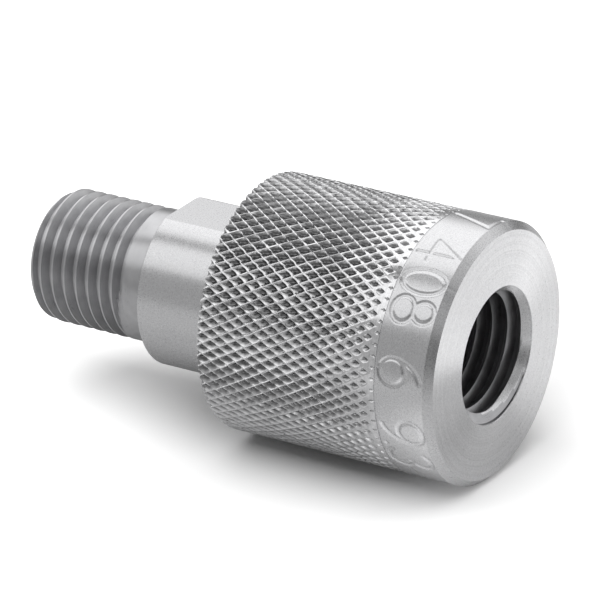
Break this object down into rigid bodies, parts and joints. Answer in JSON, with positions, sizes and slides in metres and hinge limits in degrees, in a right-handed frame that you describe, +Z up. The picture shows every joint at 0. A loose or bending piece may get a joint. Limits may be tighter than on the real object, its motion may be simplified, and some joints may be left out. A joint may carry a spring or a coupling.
{
  "type": "quick test coupling",
  "caption": "Hand-tightened test coupling: knurled steel swivel sleeve with a fine internal thread on a stem with wrench flats and a threaded hose end.",
  "frame": {"origin": "middle of the stem's threaded end face, on which the part stands", "axes": "+Z up along the coupling's axis, from the hose thread to the mouth of the sleeve; the two wrench flats face +X and -X"},
  "size_m": [0.023, 0.023, 0.0442],
  "materials": {
    "turned_steel": "fine turned",
    "sleeve_steel": "fine turned, knurled",
    "black_rubber": "matt",
    "bronze": "turned",
    "ground_steel": "ground",
    "spring_steel": "blued"
  },
  "bodies": {
    "stem": {"stem": "turned_steel", "seal_ring": "black_rubber"},
    "sleeve": {"sleeve": "sleeve_steel", "bearing_bush": "bronze", "support_washer": "ground_steel", "snap_ring": "spring_steel"}
  },
  "joints": [
    {"name": "sleeve_spin", "type": "hinge", "parent": "stem", "child": "sleeve", "pos_m": [0, 0, 0.03], "axis": [0, 0, 1], "continuous": true}
  ]
}
